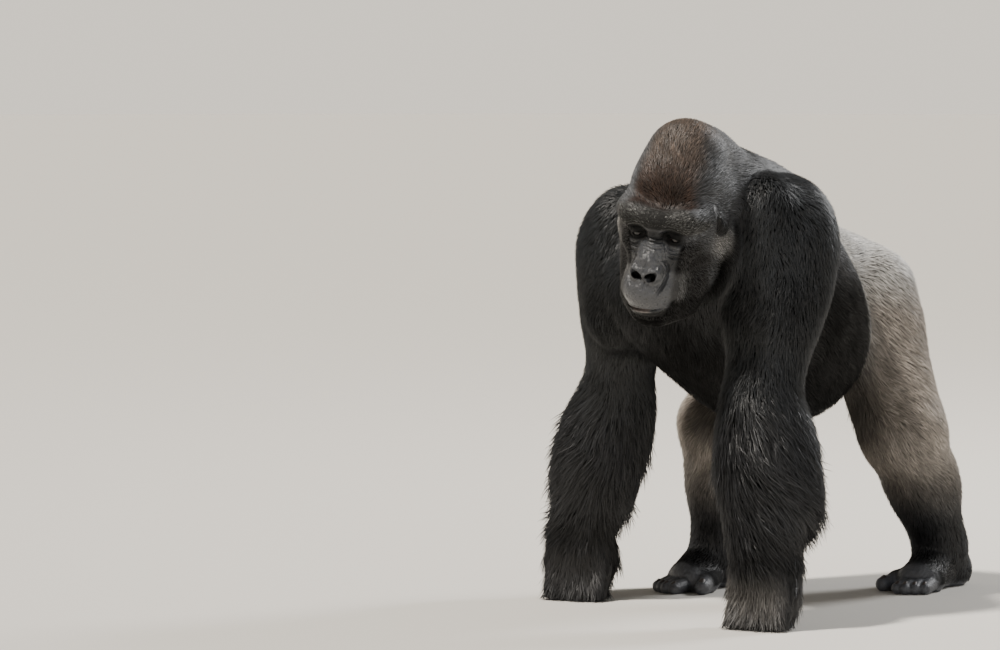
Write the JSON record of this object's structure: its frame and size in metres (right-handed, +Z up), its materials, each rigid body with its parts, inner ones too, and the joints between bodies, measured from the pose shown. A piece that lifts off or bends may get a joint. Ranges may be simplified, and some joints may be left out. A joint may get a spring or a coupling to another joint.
{
  "type": "gorilla",
  "caption": "Still life-size model of an adult male gorilla standing on knuckles and soles, head lowered and turned a little, one hand and one foot ahead.",
  "frame": {"origin": "on the ground under the middle of the animal's box", "axes": "+Z up, +X towards the animal's left, the animal faces -Y"},
  "size_m": [0.8155, 1.2156, 1.0653],
  "materials": {
    "coat_black": "long black hair with a faint blue sheen",
    "coat_silver": "short grizzled silver-grey hair over black",
    "coat_crest": "short hair, red-brown on the crest and grey on the sides of the head",
    "skin": "bare black creased skin, slightly shiny",
    "eye": "wet dark brown eye"
  },
  "bodies": {
    "root": {"eye_left": "eye", "eye_right": "eye", "ear_left": "skin", "ear_right": "skin", "head": "coat_crest", "upper_arm_left": "coat_black", "forearm_left": "coat_black", "thumb_left": "skin", "hand_left": "coat_black", "finger_2_left": "skin", "finger_3_left": "skin", "finger_4_left": "skin", "finger_5_left": "skin", "thigh_left": "coat_silver", "shank_left": "coat_black", "toe_1_left": "skin", "foot_left": "coat_black", "toe_2_left": "skin", "toe_3_left": "skin", "toe_4_left": "skin", "toe_5_left": "skin", "upper_arm_right": "coat_black", "forearm_right": "coat_black", "thumb_right": "skin", "hand_right": "coat_black", "finger_2_right": "skin", "finger_3_right": "skin", "finger_4_right": "skin", "finger_5_right": "skin", "thigh_right": "coat_silver", "shank_right": "coat_black", "toe_1_right": "skin", "foot_right": "coat_black", "toe_2_right": "skin", "toe_3_right": "skin", "toe_4_right": "skin", "toe_5_right": "skin", "neck": "coat_black", "chest": "coat_black", "belly": "coat_silver", "pelvis": "coat_silver"}
  },
  "joints": []
}
